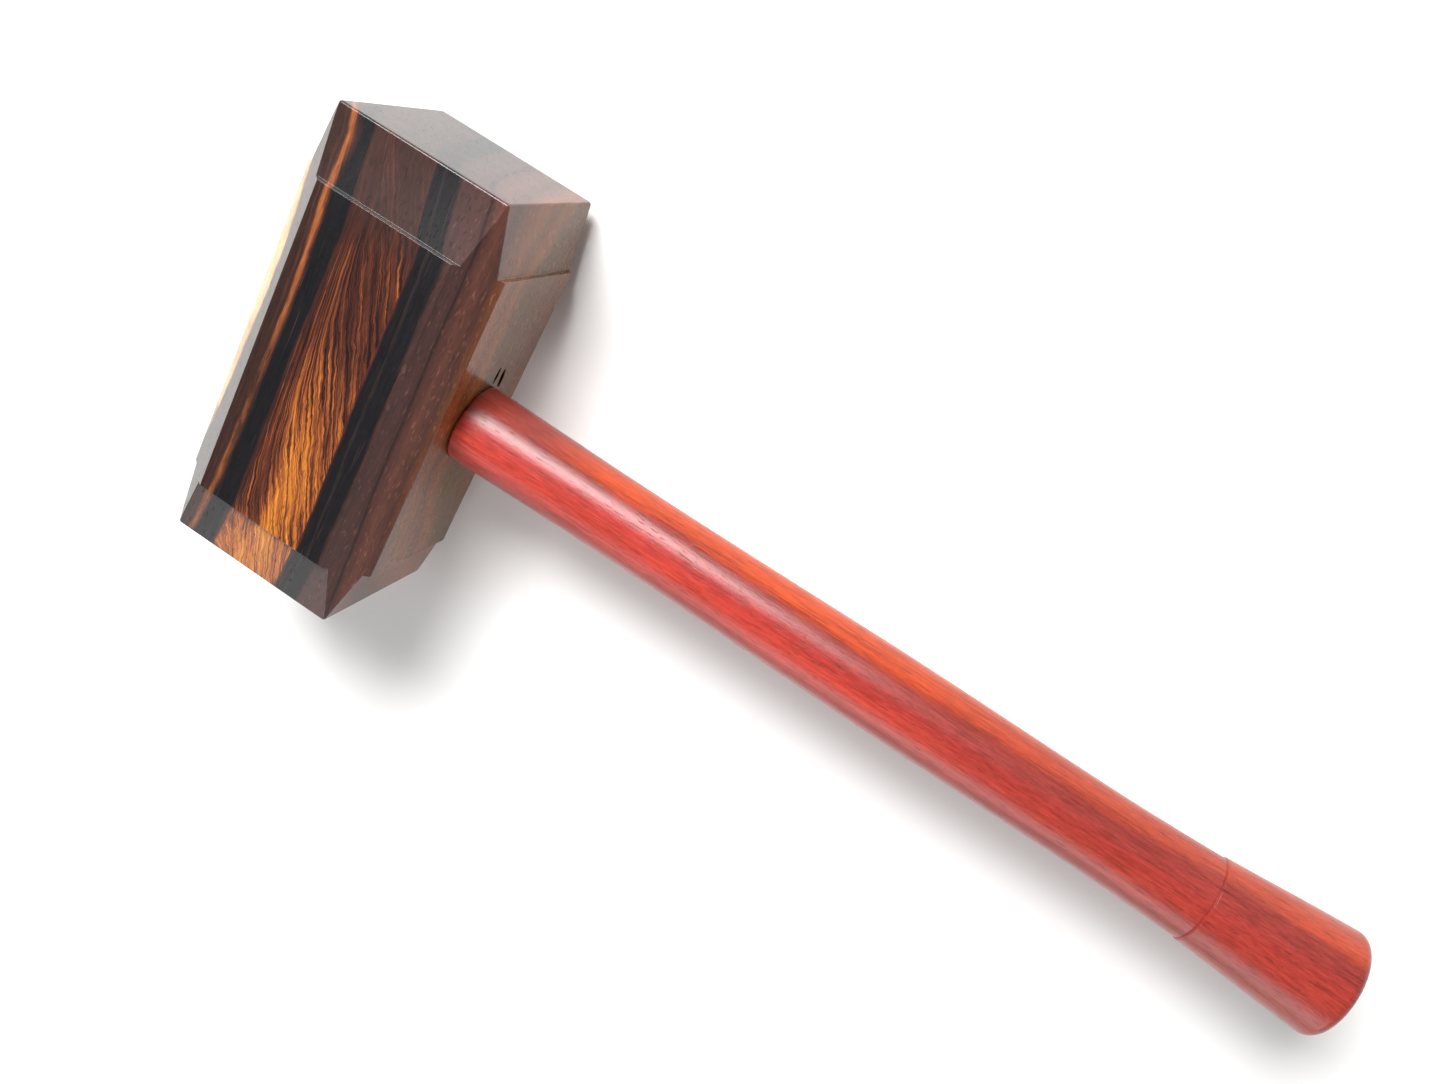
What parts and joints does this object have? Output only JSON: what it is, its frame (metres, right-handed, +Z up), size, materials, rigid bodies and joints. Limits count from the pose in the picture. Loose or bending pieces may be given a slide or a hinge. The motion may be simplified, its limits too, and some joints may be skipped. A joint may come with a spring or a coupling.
{
  "type": "wooden mallet",
  "caption": "Carpenter's mallet: a heavy chamfered hardwood head with stepped, tapering ends and square striking faces, wedged on a round turned handle with a flared butt.",
  "frame": {"origin": "centre of the bounding box's bottom: halfway along the mallet, midway between the striking faces, on the surface that it lies on", "axes": "+X along the handle from the head to the butt, +Y towards one striking face, +Z up, out of the upper cheek of the head"},
  "size_m": [0.386, 0.15, 0.071],
  "materials": {
    "head_rosewood": "oiled and polished, satin gloss, dark striped heartwood",
    "handle_padauk": "oiled and polished, soft gloss, straight red grain",
    "wedge_hardwood": "sawn and planed flush with the head, oiled"
  },
  "bodies": {
    "root": {"head_block": "head_rosewood", "handle": "handle_padauk", "tenon_wedge": "wedge_hardwood"}
  },
  "joints": []
}
